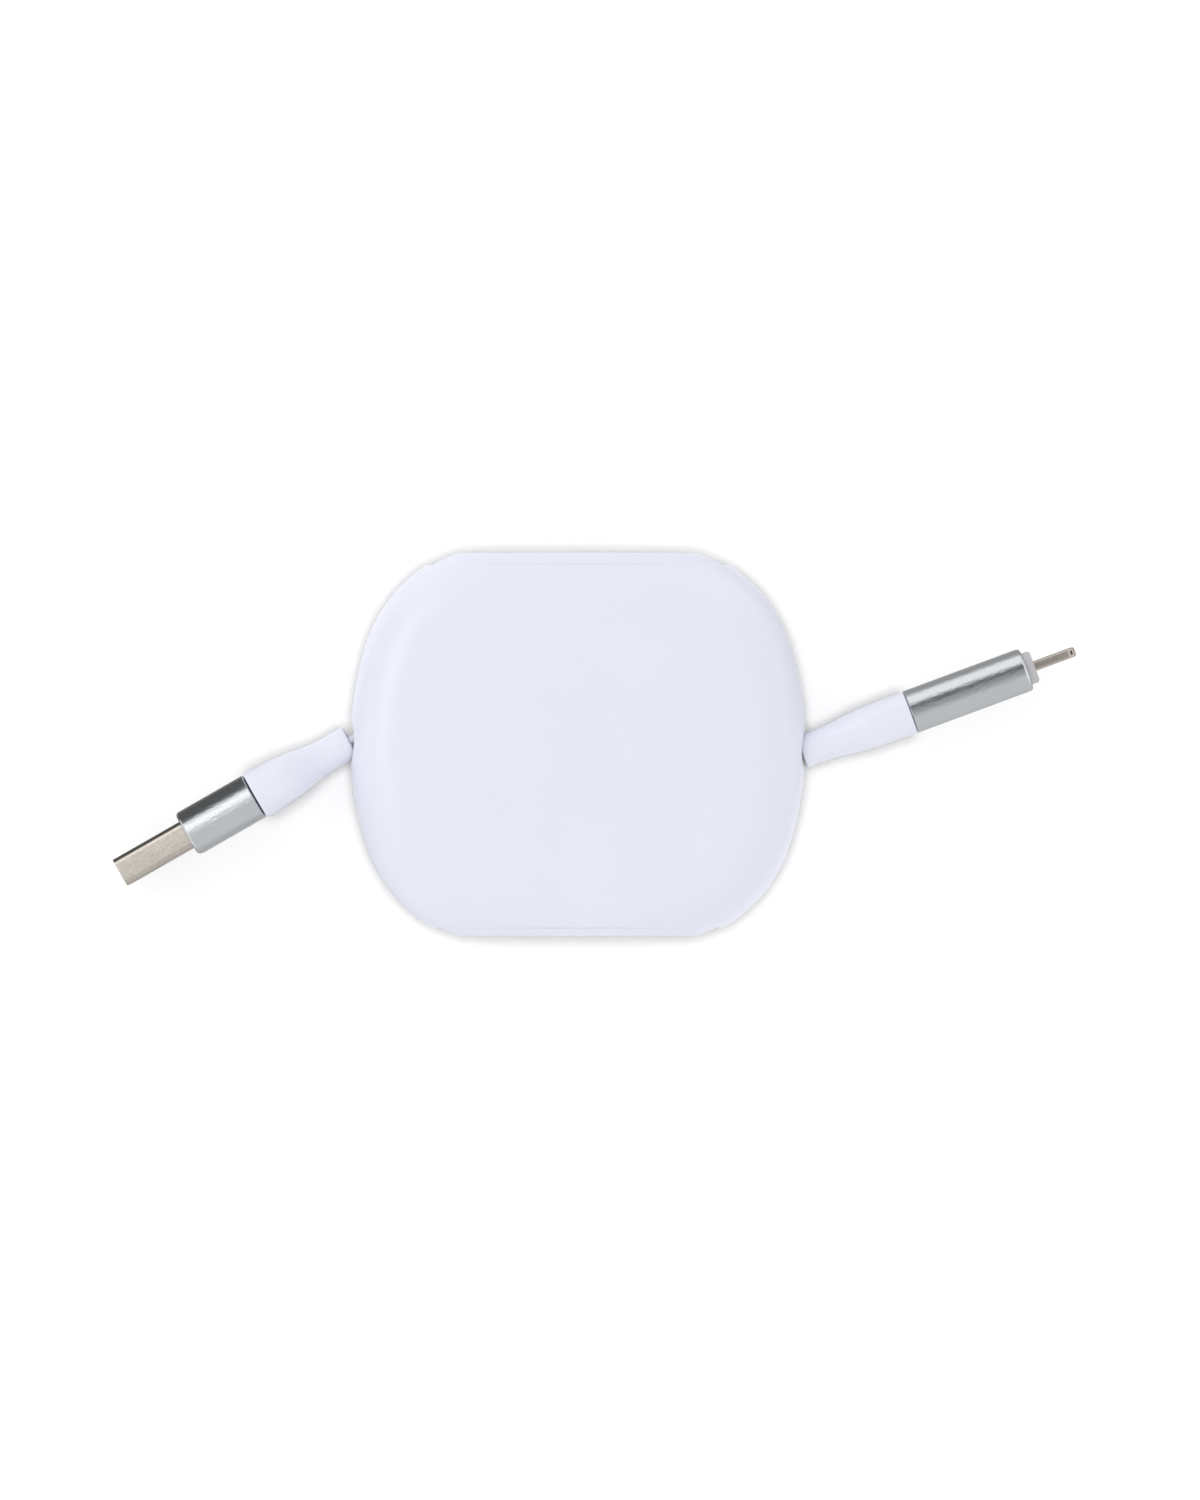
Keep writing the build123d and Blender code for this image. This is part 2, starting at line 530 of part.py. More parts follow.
def boot(length, neck_length, shoulder_length, neck, shoulder, root):
    """Boot with a cable slot: a straight neck swells smoothly to a shoulder, which still widens to the root.

    Neck, shoulder and root are each a thickness and a width.
    """
    swell = length - neck_length - shoulder_length
    sections = []
    for station in range(BOOT_STATIONS + 1):
        x = length * station / BOOT_STATIONS
        share = min(max((x - neck_length) / swell, 0), 1)
        mix = share * share * (3 - 2 * share)
        flare = max(x - neck_length - swell, 0) / shoulder_length
        thickness, width = [
            low + mix * (middle - low) + flare * (high - middle)
            for low, middle, high in zip(neck, shoulder, root)
        ]
        sections.append(across(x, RectangleRounded(thickness, width, BOOT_CORNER_RATIO * thickness)))
    body = loft(sections)
    body = fillet(body.edges().group_by(Axis.X)[0], BOOT_END_ROUND)
    slot = SlotOverall(CABLE_WIDTH + 2 * PUSH_FIT, CABLE_THICKNESS + 2 * PUSH_FIT, rotation=90)
    return body - extrude(across(0, slot), amount=LEAD_IN_BOOT + PUSH_FIT)


def sleeve(start, end, thickness, width, corner, opening):
    """Drawn aluminium can with a rounded front rim and an opening for the plug's nose."""
    can = bar(start, end, thickness, width, corner)
    can = fillet(can.edges().group_by(Axis.X)[-1], SLEEVE_RIM_ROUND)
    can = chamfer(can.edges().group_by(Axis.X)[0], SLEEVE_REAR_BEVEL)
    hollow = bar(start, end - SLEEVE_FRONT, thickness - 2 * SLEEVE_WALL, width - 2 * SLEEVE_WALL,
                 corner - SLEEVE_WALL)
    return can - hollow - extrude(across(end - SLEEVE_FRONT, opening), amount=SLEEVE_FRONT)


def sleeve_filling(start, end, thickness, width, corner):
    """Moulding that fills a sleeve from the boot up to the sleeve's front wall."""
    inset = 2 * (SLEEVE_WALL + PUSH_FIT)
    return bar(start, end - SLEEVE_FRONT - PUSH_FIT, thickness - inset, width - inset, corner - inset / 2)


def nose_section(grow):
    """Outside of the steel nose, larger by a gap on every side."""
    return RectangleRounded(NOSE_THICKNESS + 2 * grow, NOSE_WIDTH + 2 * grow, NOSE_CORNER + grow)


def charger_boot():
    """Boot of the charger plug."""
    return boot(
        CHARGER_BOOT_LENGTH, CHARGER_NECK_LENGTH, CHARGER_SHOULDER_LENGTH,
        (CHARGER_NECK_THICKNESS, CHARGER_NECK_WIDTH), (CHARGER_SHOULDER_THICKNESS, CHARGER_SHOULDER_WIDTH),
        (CHARGER_BOOT_THICKNESS, CHARGER_BOOT_WIDTH),
    )


def charger_sleeve():
    """Aluminium sleeve of the charger plug."""
    return sleeve(
        CHARGER_SLEEVE_START, CHARGER_SLEEVE_END, CHARGER_SLEEVE_THICKNESS, CHARGER_SLEEVE_WIDTH,
        CHARGER_SLEEVE_CORNER, nose_section(PUSH_FIT),
    )


def charger_core():
    """Moulding in the charger sleeve with the socket of the steel nose."""
    filling = sleeve_filling(
        CHARGER_BOOT_LENGTH, CHARGER_SLEEVE_END, CHARGER_SLEEVE_THICKNESS, CHARGER_SLEEVE_WIDTH,
        CHARGER_SLEEVE_CORNER,
    )
    return filling - extrude(across(NOSE_START, nose_section(PUSH_FIT)), amount=NOSE_ROOT + SLEEVE_FRONT)


def charger_shell():
    """Steel nose folded from sheet: open seam under the tongue and four latch windows."""
    length = NOSE_TIP - NOSE_START
    tube = nose_section(0) - nose_section(-NOSE_SHEET)
    shell = extrude(across(NOSE_START, tube), amount=length)
    outside = NOSE_THICKNESS / 2
    shell -= block(NOSE_START, NOSE_TIP, -outside, -outside + NOSE_SHEET, 0, NOSE_SEAM)
    for side in (-1, 1):
        middle = NOSE_TIP - WINDOW_SETBACK
        shell -= block(middle - WINDOW_SIDE / 2, middle + WINDOW_SIDE / 2, -outside, outside,
                       side * WINDOW_SPACING / 2, WINDOW_SIDE)
    return shell


def contact_strips(grow):
    """Four contact strips on the tongue, the inner pair set further back, larger by a gap on their sides."""
    tail = NOSE_START + CONTACT_TAIL
    front = NOSE_TIP - TONGUE_SETBACK - CONTACT_SETBACK
    strips = []
    for z in (-CONTACT_OUTER_Z, -CONTACT_INNER_Z, CONTACT_INNER_Z, CONTACT_OUTER_Z):
        setback = CONTACT_STAGGER if abs(z) == CONTACT_INNER_Z else 0
        strips.append(block(tail - grow, front - setback + grow, TONGUE_FACE - CONTACT_DEPTH,
                            TONGUE_FACE + CONTACT_PROUD, z, CONTACT_WIDTH + 2 * grow))
    return strips


def charger_tongue():
    """Plastic tongue along one wide wall of the nose, grooved for the contact strips."""
    end = NOSE_TIP - TONGUE_SETBACK
    inside = extrude(across(NOSE_START, nose_section(-NOSE_SHEET - PUSH_FIT)), amount=end - NOSE_START)
    tongue = inside & block(NOSE_START, end, TONGUE_FACE - TONGUE_THICKNESS, TONGUE_FACE, 0, NOSE_WIDTH)
    tongue = chamfer(tongue.edges().group_by(Axis.X)[-1], TONGUE_BEVEL)
    for strip in contact_strips(PUSH_FIT):
        tongue -= strip
    return tongue


def phone_boot():
    """Boot of the phone plug."""
    return boot(
        PHONE_BOOT_LENGTH, PHONE_NECK_LENGTH, PHONE_SHOULDER_LENGTH,
        (PHONE_NECK_THICKNESS, PHONE_NECK_WIDTH), (PHONE_SHOULDER_THICKNESS, PHONE_SHOULDER_WIDTH),
        (PHONE_BOOT_THICKNESS, PHONE_BOOT_WIDTH),
    )


def collar_section(grow):
    """Outside of the grey collar, larger by a gap on every side."""
    return RectangleRounded(COLLAR_THICKNESS + 2 * grow, COLLAR_WIDTH + 2 * grow, COLLAR_CORNER + grow)


def phone_sleeve():
    """Aluminium sleeve of the phone plug."""
    return sleeve(
        PHONE_SLEEVE_START, PHONE_SLEEVE_END, PHONE_SLEEVE_THICKNESS, PHONE_SLEEVE_WIDTH,
        PHONE_SLEEVE_CORNER, collar_section(PUSH_FIT),
    )


def phone_core():
    """Grey moulding in the phone sleeve: its nose is the collar, and it holds the tab and the board."""
    body = sleeve_filling(
        PHONE_BOOT_LENGTH, PHONE_SLEEVE_END, PHONE_SLEEVE_THICKNESS, PHONE_SLEEVE_WIDTH, PHONE_SLEEVE_CORNER,
    )
    joint = PHONE_SLEEVE_END - SLEEVE_FRONT - PUSH_FIT
    collar = extrude(across(joint, collar_section(0)), amount=COLLAR_END - joint)
    collar = fillet(collar.edges().group_by(Axis.X)[-1], COLLAR_ROUND)
    tab_half = TAB_THICKNESS / 2 + PUSH_FIT
    board_half = BOARD_THICKNESS / 2 + BOARD_FIT
    socket = block(TAB_START, COLLAR_END, -tab_half, tab_half, 0, TAB_WIDTH + 2 * PUSH_FIT)
    pocket = block(TAB_START - BOARD_LENGTH - 2 * BOARD_FIT, TAB_START, -board_half, board_half, 0,
                   BOARD_WIDTH + 2 * BOARD_FIT)
    return body + collar - socket - pocket


def tab_window(grow):
    """Window through the tab for its contacts, larger by a gap on every side."""
    end = TAB_TIP - TAB_WINDOW_SETBACK
    half = TAB_THICKNESS / 2
    return block(end - TAB_WINDOW_LENGTH - grow, end + grow, -half, half, 0, TAB_WINDOW_WIDTH + 2 * grow)


def tab_edge_cuts():
    """Marks in the upper narrow edge of the tab: a groove, a round dimple, a facet and a square notch."""
    edge = TAB_WIDTH / 2
    groove_half = GROOVE_WIDTH / 2
    groove = block(TAB_START, TAB_TIP - GROOVE_END, -groove_half, groove_half, edge, 2 * GROOVE_DEPTH)
    dimple = Pos(TAB_TIP - DIMPLE_SETBACK, 0, edge) * Cylinder(DIMPLE_RADIUS, 2 * DIMPLE_DEPTH)
    facet = Pos(TAB_TIP - FACET_SETBACK, 0, edge) * Box(FACET_LENGTH, FACET_LENGTH, 2 * FACET_DEPTH)
    tip_edge = Pos(TAB_TIP - NOTCH_SETBACK, 0, edge - TAB_TIP_ROUND)
    notch = tip_edge * Box(NOTCH_LENGTH, NOTCH_WIDTH, 2 * (TAB_TIP_ROUND + NOTCH_DEPTH))
    rounded_tip = Pos(TAB_TIP - TAB_TIP_ROUND, 0, edge - TAB_TIP_ROUND) * Rot(90, 0, 0) * Cylinder(
        TAB_TIP_ROUND - NOTCH_DEPTH, TAB_THICKNESS)
    return groove + dimple + facet + (notch - rounded_tip & (Pos(TAB_TIP, 0, edge) * Box(
        2 * TAB_TIP_ROUND, TAB_THICKNESS, 2 * TAB_TIP_ROUND)))


def phone_tab():
    """Steel frame of the phone plug: a round-tipped blade with a window and marks in both narrow edges."""
    length = TAB_TIP - TAB_START
    outline = Pos((TAB_START + TAB_TIP) / 2, 0) * Rectangle(length, TAB_WIDTH)
    outline = fillet(outline.vertices().group_by(Axis.X)[-1], TAB_TIP_ROUND)
    blade = extrude(Plane.XZ * outline, amount=TAB_THICKNESS / 2, both=True)
    rim = blade.edges().group_by(Axis.Y)[0] + blade.edges().group_by(Axis.Y)[-1]
    blade = fillet([edge for edge in rim if edge.center().X > TAB_START + TAB_EDGE_ROUND], TAB_EDGE_ROUND)
    upper_cuts = tab_edge_cuts()
    return blade - tab_window(PUSH_FIT) - upper_cuts - mirror(upper_cuts, about=Plane.XY)


def contact_pads(grow):
    """Contact pads in both wide faces of the insert, larger by a gap on their sides."""
    middle = TAB_TIP - TAB_WINDOW_SETBACK - TAB_WINDOW_LENGTH / 2
    reach = PAD_LENGTH / 2 + grow
    face = TAB_THICKNESS / 2
    pads = []
    for side in (-1, 1):
        for index in range(PAD_COUNT):
            z = (index - (PAD_COUNT - 1) / 2) * PAD_PITCH
            y_low, y_high = sorted((side * (face - PAD_DEPTH), side * face))
            pads.append(block(middle - reach, middle + reach, y_low, y_high, z, PAD_WIDTH + 2 * grow))
    return pads


def phone_insert():
    """Plastic block in the tab's window with a well for each pad."""
    half = TAB_THICKNESS / 2 - INSERT_RECESS
    insert = tab_window(0) & block(TAB_START, TAB_TIP, -half, half, 0, TAB_WIDTH)
    for pad in contact_pads(PUSH_FIT):
        insert -= pad
    return insert


def phone_board():
    """Small circuit board behind the tab."""
    half = BOARD_THICKNESS / 2
    return block(TAB_START - BOARD_LENGTH - BOARD_FIT, TAB_START - BOARD_FIT, -half, half, 0, BOARD_WIDTH)


# All nodes in place
nodes = {
    "front_cover": front_cover(),
    "rear_cover": rear_cover(),
    "reel": reel(),
    "reel_cap": reel_cap(),
    "power_spring": power_spring(),
    "wound_cable": wound_cable(),
    "ratchet_pawl": ratchet_pawl(),
    "charger_lead": lead(CHARGER_LEAVE, CHARGER_BEND, CHARGER_EXIT, CHARGER_OUT),
    "charger_boot": CHARGER_PLACE * charger_boot(),
    "charger_sleeve": CHARGER_PLACE * charger_sleeve(),
    "charger_core": CHARGER_PLACE * charger_core(),
    "charger_shell": CHARGER_PLACE * charger_shell(),
    "charger_tongue": CHARGER_PLACE * charger_tongue(),
    "charger_contacts": CHARGER_PLACE * Compound(children=contact_strips(0)),
    "phone_lead": lead(PHONE_LEAVE, PHONE_BEND, PHONE_EXIT, PHONE_OUT),
    "phone_boot": PHONE_PLACE * phone_boot(),
    "phone_sleeve": PHONE_PLACE * phone_sleeve(),
    "phone_core": PHONE_PLACE * phone_core(),
    "phone_tab": PHONE_PLACE * phone_tab(),
    "phone_insert": PHONE_PLACE * phone_insert(),
    "phone_contacts": PHONE_PLACE * Compound(children=contact_pads(0)),
    "phone_board": PHONE_PLACE * phone_board(),
}

os.makedirs("parts", exist_ok=True)
for name, solid in nodes.items():
    export_step(solid, f"parts/{name}.step")
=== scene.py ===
"""Looks of a retractable charging cable: pale reel case, moulded boots, satin metal plugs and flat cable."""

import math

import bpy
import numpy as np
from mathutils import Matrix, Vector


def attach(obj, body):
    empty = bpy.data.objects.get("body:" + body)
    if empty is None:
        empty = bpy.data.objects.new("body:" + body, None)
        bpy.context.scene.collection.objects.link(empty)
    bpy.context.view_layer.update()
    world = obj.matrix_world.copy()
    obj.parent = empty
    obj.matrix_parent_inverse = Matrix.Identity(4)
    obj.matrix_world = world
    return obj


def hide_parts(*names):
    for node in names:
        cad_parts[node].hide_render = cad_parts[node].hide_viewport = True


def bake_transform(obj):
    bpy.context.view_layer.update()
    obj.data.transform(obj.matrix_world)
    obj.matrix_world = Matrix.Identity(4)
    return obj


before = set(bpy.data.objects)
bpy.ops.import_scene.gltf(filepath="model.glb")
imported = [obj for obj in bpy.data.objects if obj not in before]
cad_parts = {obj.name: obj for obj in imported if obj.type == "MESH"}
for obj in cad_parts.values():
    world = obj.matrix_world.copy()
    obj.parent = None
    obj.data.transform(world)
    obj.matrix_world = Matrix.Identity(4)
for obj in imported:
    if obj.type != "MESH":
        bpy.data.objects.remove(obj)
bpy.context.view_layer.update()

bl_info = {
    "name": "Retractable charging cable",
    "version": (1, 0, 0),
    "blender": (4, 5, 0),
    "location": "3D View > Sidebar > Cable",
    "description": "Finishes, flat leads and a pale studio for a retractable charging cable",
    "category": "Object",
}

MM = 0.001
MIDDLE = 8.0  # height of the parting plane and of both plugs' axes, in mm

# Route of each lead seen from above, in mm: where it leaves the winding, its plug's angle and its boot's end
LEADS = {
    "charger": {"leave": (-15.148, 16.468), "angle": 209.8, "exit": (-35.0, 0.49)},
    "phone": {"leave": (15.35, -16.29), "angle": 20.3, "exit": (34.32, -1.24)},
}
LEAD_THICKNESS = 1.3
LEAD_WIDTH = 4.6
LEAD_BEND_X = 30.9  # distance from the reel's axis, across the case, at which both leads bend
LEAD_BEND_RADIUS = 16.0
LEAD_IN_BOOT = 6.9
LEAD_CLEAR = 1.5  # gap to the winding, which turns past the lead's end

# Steps along a lead and round its section
RUN_IN_STEPS = 40
BEND_STEPS = 25
RUN_OUT_STEPS = 60
SECTION_STEPS = 64

# Colours of the pieces inside the case and the plugs, as linear values
TONGUE_WHITE = (0.82, 0.82, 0.81)
# Charger core: a dark inner moulding, made near black so that it also paints shade into the joint gap between
# boot and sleeve
CORE_DARK_AND_GAP_SHADE = (0.05, 0.05, 0.055)
INSERT_GREY = (0.55, 0.55, 0.56)
BOARD_GREEN = (0.03, 0.14, 0.07)
REEL_WHITE = (0.66, 0.66, 0.68)
PAWL_IVORY = (0.76, 0.73, 0.62)
SPRING_STEEL = (0.42, 0.43, 0.46)
# The boots take the covers' plastic made paler: painted light that makes up for the shade the boots get near
# the floor
BOOT_PAINTED_LIGHT = 1.015  # brightness of the boots' plastic over that of the covers

# Patterns of the finishes: cells per metre, a depth in metres, and shares
PLASTIC_CLOUD_CELLS = 90.0
PLASTIC_TINT = 0.015
PLASTIC_GLOSS_SPREAD = 0.1
PLASTIC_GRAIN_DEPTH = 0.000004
METAL_CLOUD_CELLS = 220.0
METAL_GLOSS_SPREAD = 0.06
METAL_DRAWN = 0.35  # cells of the drawn grain along the piece for each one across it
SAND_FINENESS = 1.3  # cells of the speckle for each one across the drawn grain
SAND_SHARE = 0.75  # of the speckle in the metal's tone, beside the cloud

# Stage, with places and sizes in metres
FLOOR_HALF = 6.0
PAPER_GREY = (0.35, 0.35, 0.35, 1.0)
PAPER_ROUGHNESS = 0.9
SOFTBOX_PLACE = (-0.48, 0.2, 0.56)
SOFTBOX_SIZE = 0.3
FILL_PLACE = (0.55, -0.05, 0.4)
FILL_SIZE = 0.5
SENSOR_WIDTH = 36.0  # of the camera, in mm
SHADING_PIECES = ("front_cover", "rear_cover", "charger_boot", "phone_boot")  # what shades the top light

REFLECTOR_STEPS = 361
REFLECTOR_START = 0.008  # from the boot's end to the near end of its reflector
REFLECTOR_LIFT = 0.0001  # of the reflector's foot above the floor
BEARING_HEIGHT = 0.0124  # height above the floor from which the panels' angles are taken

# Panels of the reflector over each plug: the angles in degrees between which a panel is even, and its
# brightness. The angle is taken across the plug, from the zenith, positive towards +Y, so that past
# 90 degrees it is near the ground.
PANELS = {
    "charger": [(-180, -120, 0.50), (-80, -6, 0.67), (14, 20, 1.32), (65, 108, 0.11), (165, 180, 0.34)],
    "phone": [
        (-180, -165, 0.50), (-105, -36, 0.66), (3, 4, 0.37), (12, 18, 0.16), (48, 74, 1.04),
        (106, 124, 0.37), (150, 180, 0.42),
    ],
}


class Studio(bpy.types.PropertyGroup):
    """Camera, lamps and reflectors."""

    distance: bpy.props.FloatProperty(
        name="Camera distance", description="From the camera to the middle of the picture", default=1.5,
        unit="LENGTH")
    width: bpy.props.FloatProperty(
        name="Picture width", description="Width that the picture shows at the plugs' height",
        default=0.1846, unit="LENGTH")
    middle: bpy.props.FloatVectorProperty(
        name="Picture middle", description="Point that the camera looks at",
        default=(0.0034, -0.00086, 0.008), subtype="XYZ", unit="LENGTH")
    sky: bpy.props.FloatProperty(
        name="Sky", description="Brightness of the even light all round", default=0.87)
    key: bpy.props.FloatProperty(
        name="Softbox", description="Power of the softbox on the left", default=0.8, unit="POWER")
    top: bpy.props.FloatProperty(
        name="Top light", description="Strength of the distant overhead disc that lights the floor alone",
        default=6.3)
    top_angle: bpy.props.FloatProperty(
        name="Top light size", description="Angle that the overhead disc spans, which softens the shade",
        default=0.36, subtype="ANGLE")
    fill: bpy.props.FloatProperty(
        name="Fill", description="Power of the wide weak lamp on the right", default=0.17, unit="POWER")
    tunnel: bpy.props.FloatProperty(
        name="Reflector radius", description="Radius of the graded reflector round each plug", default=0.07,
        unit="LENGTH")
    tunnel_length: bpy.props.FloatProperty(
        name="Reflector length", description="Length of the graded reflector round each plug",
        default=0.075, unit="LENGTH")


class Finishes(bpy.types.PropertyGroup):
    """Colours of the pieces, as linear values."""

    plastic: bpy.props.FloatVectorProperty(
        name="Moulded plastic", description="Pale lavender white of the covers and boots", size=3,
        subtype="COLOR", default=(0.806, 0.821, 0.925))
    jacket: bpy.props.FloatVectorProperty(
        name="Cable jacket", description="Soft jacket of the flat cable", size=3, subtype="COLOR",
        default=(0.80, 0.815, 0.91))
    aluminium: bpy.props.FloatVectorProperty(
        name="Aluminium", description="Satin sleeves of the two plugs", size=3, subtype="COLOR",
        default=(0.72, 0.745, 0.77))
    nickel: bpy.props.FloatVectorProperty(
        name="Nickel", description="Plated steel of the nose and the tab", size=3, subtype="COLOR",
        default=(0.65, 0.605, 0.54))
    collar: bpy.props.FloatVectorProperty(
        name="Collar", description="Grey moulding in front of the phone sleeve", size=3, subtype="COLOR",
        default=(0.52, 0.52, 0.54))
    gold: bpy.props.FloatVectorProperty(
        name="Contacts", description="Gold plating of the contacts", size=3, subtype="COLOR",
        default=(0.83, 0.62, 0.26))


class Value:
    """A shader socket that takes part in Python arithmetic: each operation adds one Math node."""

    def __init__(self, tree, socket):
        self.tree = tree
        self.socket = socket

    def _math(self, operation, first, second):
        node = self.tree.nodes.new("ShaderNodeMath")
        node.operation = operation
        for place, value in enumerate((first, second)):
            if isinstance(value, Value):
                self.tree.links.new(value.socket, node.inputs[place])
            else:
                node.inputs[place].default_value = value
        return Value(self.tree, node.outputs[0])

    def __add__(self, other):
        return self._math("ADD", self, other)

    def __radd__(self, other):
        return self._math("ADD", other, self)

    def __mul__(self, other):
        return self._math("MULTIPLY", self, other)

    def __rmul__(self, other):
        return self._math("MULTIPLY", other, self)


class Finish:
    """A material under construction: one Principled shader and the nodes that feed it."""

    def __init__(self, name):
        self.material = bpy.data.materials.new(name)
        self.material.use_nodes = True
        self.tree = self.material.node_tree
        self.shader = self.tree.nodes["Principled BSDF"]

    def node(self, kind, settings=None, **inputs):
        """Adds a node of a kind with its settings, then its sockets' values or links, and returns it.

        A socket goes by its name, or by an underscore and its number.
        """
        node = self.tree.nodes.new(kind)
        for key, value in (settings or {}).items():
            setattr(node, key, value)
        for key, value in inputs.items():
            self.feed(node.inputs[int(key[1:])] if key[0] == "_" else node.inputs[key], value)
        return node

    def feed(self, socket, value):
        """Links a wrapped socket, or sets a plain value."""
        if isinstance(value, Value):
            self.tree.links.new(value.socket, socket)
        else:
            socket.default_value = value

    def set(self, **inputs):
        """Feeds sockets of the shader, named with underscores for spaces."""
        for key, value in inputs.items():
            self.feed(self.shader.inputs[key.replace("_", " ")], value)

    def place(self, turn=0.0, stretch=(1.0, 1.0, 1.0)):
        """Object coordinates turned about Z and stretched along their own axes."""
        source = self.node("ShaderNodeTexCoord").outputs["Object"]
        turned = self.node("ShaderNodeMapping", Vector=Value(self.tree, source), Rotation=(0.0, 0.0, -turn))
        turned = Value(self.tree, turned.outputs[0])
        scaled = self.node("ShaderNodeMapping", Vector=turned, Scale=stretch)
        return Value(self.tree, scaled.outputs[0])

    def noise(self, place, cells, detail=2.0, roughness=0.6):
        """Noise from 0 to 1 with a number of cells per metre."""
        node = self.node("ShaderNodeTexNoise", Vector=place, Scale=cells, Detail=detail, Roughness=roughness)
        return Value(self.tree, node.outputs[0])

    def cloud(self, cells):
        """Soft noise for slow changes of tone."""
        return self.noise(self.place(), cells, detail=3.0, roughness=0.5)

    def tint(self, share, colour, change):
        """A colour that goes from darker to paler by a change, as a share goes from 0 to 1."""
        low, high = (tuple(min(1.0, c * (1 + sign * change)) for c in colour) + (1.0,) for sign in (-1, 1))
        node = self.node("ShaderNodeMix", {"data_type": "RGBA"}, _0=share, _6=low, _7=high)
        return Value(self.tree, node.outputs[2])

    def bump(self, height, depth):
        """Normal from a height field with a depth in metres."""
        node = self.node("ShaderNodeBump", Strength=1.0, Distance=depth, Height=height)
        return Value(self.tree, node.outputs[0])


def moulded_plastic(name, colour, roughness, cells=5200.0):
    """Moulded plastic: an even colour, faintly cloudy, with the fine grain of a spark-eroded mould."""
    finish = Finish(name)
    grit = finish.noise(finish.place(), cells, detail=3.0)
    finish.set(
        Base_Color=finish.tint(finish.cloud(PLASTIC_CLOUD_CELLS), colour, PLASTIC_TINT),
        Roughness=roughness - PLASTIC_GLOSS_SPREAD / 2 + grit * PLASTIC_GLOSS_SPREAD,
        Normal=finish.bump(grit, PLASTIC_GRAIN_DEPTH),
    )
    return finish.material


def satin_metal(name, colour, turn, roughness, cells=2600.0, depth=0.00004, speckle=0.06):
    """Blasted metal with short grains drawn along the piece's axis, a fine speckle and a cloudy polish."""
    finish = Finish(name)
    drawn = finish.noise(finish.place(turn, (METAL_DRAWN, 1.0, 1.0)), cells)
    sand = finish.noise(finish.place(), SAND_FINENESS * cells)
    tone = sand * SAND_SHARE + finish.cloud(METAL_CLOUD_CELLS) * (1 - SAND_SHARE)
    finish.set(
        Base_Color=finish.tint(tone, colour, speckle),
        Metallic=1.0,
        Roughness=roughness - METAL_GLOSS_SPREAD / 2 + drawn * METAL_GLOSS_SPREAD,
        Normal=finish.bump(drawn, depth),
    )
    return finish.material


def plated_steel(name, colour, turn, roughness):
    """Nickel plating: smoother than the blasted metal, with a coarse and strong speckle."""
    return satin_metal(name, colour, turn, roughness, cells=1900.0, depth=0.00001, speckle=0.3)


def plug_turn(plug):
    """Angle of a plug about the upright axis, in radians."""
    return math.radians(LEADS[plug]["angle"])


def plug_axis(plug):
    """Direction in which a plug points away from the case."""
    return np.array([math.cos(plug_turn(plug)), math.sin(plug_turn(plug)), 0.0])


def panel_light(panels, bearing):
    """Brightness at each bearing: even within a panel, and the smooth step 3 s^2 - 2 s^3 between panels."""
    level = np.full_like(bearing, panels[0][2])
    for (_, start, low), (end, _, high) in zip(panels, panels[1:]):
        share = np.clip((bearing - start) / (end - start), 0.0, 1.0)
        level += (high - low) * share * share * (3 - 2 * share)
    return level


def dress(material, *nodes):
    """Gives CAD nodes a finish through their material slots."""
    for name in nodes:
        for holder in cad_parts[name].material_slots:
            holder.material = material


def grid_mesh(name, points, tube=False):
    """Mesh over a grid of points in mm, with a quad between each point and its next neighbours.

    A tube's columns go all the way round, and one face closes each of its ends.
    """
    rows, columns = points.shape[:2]
    row, column = np.meshgrid(np.arange(rows - 1), np.arange(columns if tube else columns - 1), indexing="ij")
    beside = (column + 1) % columns
    corners = [(row, column), (row, beside), (row + 1, beside), (row + 1, column)]
    faces = np.stack([r * columns + c for r, c in corners], axis=-1).reshape(-1, 4).tolist()
    if tube:
        ring = np.arange(columns)
        faces += [ring[::-1].tolist(), (ring + (rows - 1) * columns).tolist()]
    mesh = bpy.data.meshes.new(name)
    mesh.from_pydata((points.reshape(-1, 3) * MM).tolist(), [], faces)
    return mesh


def new_piece(name, mesh, material, smooth=True):
    """Object at the origin for a finished mesh."""
    mesh.materials.append(material)
    mesh.polygons.foreach_set("use_smooth", np.full(len(mesh.polygons), smooth))
    mesh.update()
    piece = bpy.data.objects.new(name, mesh)
    bpy.context.scene.collection.objects.link(piece)
    return piece


